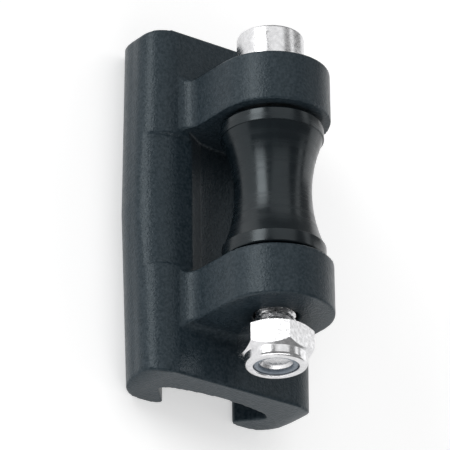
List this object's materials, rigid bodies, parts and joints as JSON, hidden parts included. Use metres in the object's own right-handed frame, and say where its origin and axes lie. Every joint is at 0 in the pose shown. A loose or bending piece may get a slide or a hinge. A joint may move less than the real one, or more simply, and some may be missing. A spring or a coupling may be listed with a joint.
{
  "type": "bow roller",
  "caption": "Waisted roller on a bolt between the ears of a moulded slider body, which hooks over a T-section track and guides a line or anchor rode at a boat's bow.",
  "frame": {"origin": "middle of the bounding box at its lowest plane, which is the back face of the two track lips", "axes": "+X along the track and the roller's axle, from the nut end to the bolt head end; +Z out from the track through the ears; +Y to the side, making a right-handed set"},
  "size_m": [0.0732, 0.041, 0.038],
  "materials": {
    "body_nylon": "charcoal glass-filled nylon, fine moulded grain, satin",
    "roller_acetal": "black acetal, smooth turned gloss",
    "bush_polymer": "natural acetal, smooth",
    "stainless_steel": "bright stainless steel, lightly mottled",
    "insert_nylon": "grey-blue nylon locking ring"
  },
  "bodies": {
    "slider": {"slider_body": "body_nylon"},
    "roller": {"roller": "roller_acetal", "roller_bush_head_end": "bush_polymer", "roller_bush_nut_end": "bush_polymer"},
    "axle": {"axle_bolt": "stainless_steel", "lock_nut": "stainless_steel", "lock_nut_insert": "insert_nylon"}
  },
  "joints": [
    {"name": "roller_spin", "type": "hinge", "parent": "slider", "child": "roller", "pos_m": [0, 0, 0.02645], "axis": [1, 0, 0], "continuous": true},
    {"name": "axle_float", "type": "slide", "parent": "slider", "child": "axle", "axis": [1, 0, 0], "range_m": [0, 0.0028]}
  ]
}
